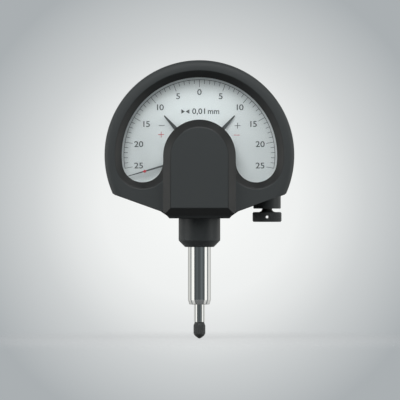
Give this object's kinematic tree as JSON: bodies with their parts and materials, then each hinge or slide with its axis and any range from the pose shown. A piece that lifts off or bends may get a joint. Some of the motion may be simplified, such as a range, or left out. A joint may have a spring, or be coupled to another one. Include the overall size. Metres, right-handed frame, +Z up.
{
  "type": "dial comparator",
  "caption": "Dial comparator with a round black case, horseshoe window over a plus-minus dial, chrome clamping shank, lifting spindle and fine-adjust knob.",
  "frame": {"origin": "On the spindle axis, at the shoulder where the black neck ends and the 8 mm clamping shank starts.", "axes": "+Z up along the spindle towards the dial, -Y is the side the dial faces, +X is to the right as seen from the front."},
  "size_m": [0.0664, 0.0255, 0.0976],
  "materials": {
    "black_plastic": "fine matt moulded plastic, near black with a slight green-grey cast",
    "black_metal": "matt black anodised or lacquered metal",
    "clear_plastic": "clear polished plastic window",
    "dial_face": "pale grey printed face, satin",
    "dark_lacquer": "dark lacquered thin metal",
    "chrome": "ground and hard-chromed, mirror bright",
    "steel": "plain machined steel",
    "brass": "machined movement brass",
    "carbide": "dark grey matt contact point",
    "ruby": "polished red jewel",
    "rubber": "black seal rubber"
  },
  "bodies": {
    "case": {"housing": "black_plastic", "window": "clear_plastic", "rear_gasket": "rubber", "rear_cover": "black_metal", "cover_screw_1": "steel", "cover_screw_2": "steel", "cover_screw_3": "steel", "cover_screw_4": "steel", "marker_hub": "brass", "movement_front_plate": "brass", "movement_rear_plate": "brass", "movement_pillar_1": "steel", "movement_pillar_2": "steel", "movement_pillar_3": "steel", "movement_screw_1": "steel", "movement_screw_2": "steel", "movement_screw_3": "steel", "lever_shaft": "steel", "intermediate_front_jewel": "ruby", "intermediate_rear_jewel": "ruby", "pointer_front_jewel": "ruby", "pointer_rear_jewel": "ruby", "lever_stop_pin_1": "steel", "lever_stop_pin_2": "steel", "hairspring": "steel", "hairspring_stud": "brass", "neck": "black_metal", "neck_lock_ring": "steel", "clamping_shank": "chrome", "spindle_seal": "rubber", "spring_seat": "brass", "measuring_spring": "steel", "adjust_bush": "brass"},
    "driver": {"driver_sleeve": "steel", "shock_spring": "steel"},
    "spindle": {"spindle": "chrome", "contact_point": "carbide", "spring_collar": "steel", "guide_collar": "brass", "driver_ring": "steel"},
    "ball_cages": {"lower_ball_cage": "brass", "upper_ball_cage": "brass"},
    "lever": {"measuring_lever": "steel"},
    "intermediate": {"intermediate_arbor": "steel", "pointer_sector": "brass"},
    "pointer": {"pointer_arbor": "steel", "pointer": "dark_lacquer", "hairspring_collet": "brass"},
    "left_marker": {"left_tolerance_marker": "dark_lacquer"},
    "left_adjuster": {"left_marker_adjuster": "steel"},
    "right_marker": {"right_tolerance_marker": "dark_lacquer"},
    "right_adjuster": {"right_marker_adjuster": "steel"},
    "fine_screw": {"adjust_screw": "black_plastic", "adjust_clip": "steel"},
    "fine_nut": {"adjust_nut": "brass"},
    "dial": {"dial_plate": "dial_face", "dial_carrier": "brass", "dial_screw_1": "steel", "dial_screw_2": "steel"}
  },
  "joints": [
    {"name": "measuring_travel", "type": "slide", "parent": "case", "child": "driver", "axis": [0, 0, 1], "range_m": [0, 0.00053]},
    {"name": "free_lift", "type": "slide", "parent": "driver", "child": "spindle", "axis": [0, 0, 1], "range_m": [0, 0.003], "deforming": ["measuring_spring", "shock_spring"]},
    {"name": "ball_cage_travel", "type": "slide", "parent": "case", "child": "ball_cages", "axis": [0, 0, 1], "range_m": [0, 0.0015]},
    {"name": "lever_swing", "type": "hinge", "parent": "case", "child": "lever", "pos_m": [0.00805, 0, 0.024], "axis": [0, 1, 0], "range_deg": [0, 3.78]},
    {"name": "intermediate_turn", "type": "hinge", "parent": "case", "child": "intermediate", "pos_m": [0.0047, 0, 0.04016], "axis": [0, 1, 0], "range_deg": [-31.9, 0]},
    {"name": "pointer_turn", "type": "hinge", "parent": "case", "child": "pointer", "pos_m": [0, 0, 0.03225], "axis": [0, 1, 0], "range_deg": [0, 212.2]},
    {"name": "left_marker_turn", "type": "hinge", "parent": "case", "child": "left_marker", "pos_m": [0, 0, 0.03225], "axis": [0, 1, 0], "range_deg": [-53.2, 41.8]},
    {"name": "left_adjuster_turn", "type": "hinge", "parent": "case", "child": "left_adjuster", "pos_m": [-0.00491, 0, 0.02881], "axis": [0, 1, 0], "range_deg": [-167.3, 212.9]},
    {"name": "right_marker_turn", "type": "hinge", "parent": "case", "child": "right_marker", "pos_m": [0, 0, 0.03225], "axis": [0, 1, 0], "range_deg": [-41.8, 53.2]},
    {"name": "right_adjuster_turn", "type": "hinge", "parent": "case", "child": "right_adjuster", "pos_m": [-0.0058, 0, 0.0338], "axis": [0, 1, 0], "range_deg": [-212.9, 167.3]},
    {"name": "fine_adjust", "type": "hinge", "parent": "case", "child": "fine_screw", "pos_m": [0.0238, 0.0005, 0.01057], "axis": [0, 0, 1], "range_deg": [-1350, 1350]},
    {"name": "fine_nut_travel", "type": "slide", "parent": "case", "child": "fine_nut", "axis": [0, 0, 1], "range_m": [-0.00187, 0.00187]},
    {"name": "dial_turn", "type": "hinge", "parent": "case", "child": "dial", "pos_m": [0, 0, 0.03225], "axis": [0, 1, 0], "range_deg": [-4, 4]}
  ],
  "couplings": [
    {"joint": "lever_swing", "follows": "measuring_travel", "rad_per_m": 124.24},
    {"joint": "intermediate_turn", "follows": "measuring_travel", "rad_per_m": -1047.2},
    {"joint": "pointer_turn", "follows": "measuring_travel", "rad_per_m": 6981.3},
    {"joint": "ball_cage_travel", "follows": "free_lift", "ratio": 0.5},
    {"joint": "left_adjuster_turn", "follows": "left_marker_turn", "ratio": -4},
    {"joint": "right_adjuster_turn", "follows": "right_marker_turn", "ratio": -4},
    {"joint": "fine_adjust", "follows": "fine_nut_travel", "rad_per_m": -12566},
    {"joint": "dial_turn", "follows": "fine_nut_travel", "rad_per_m": -36.811}
  ]
}
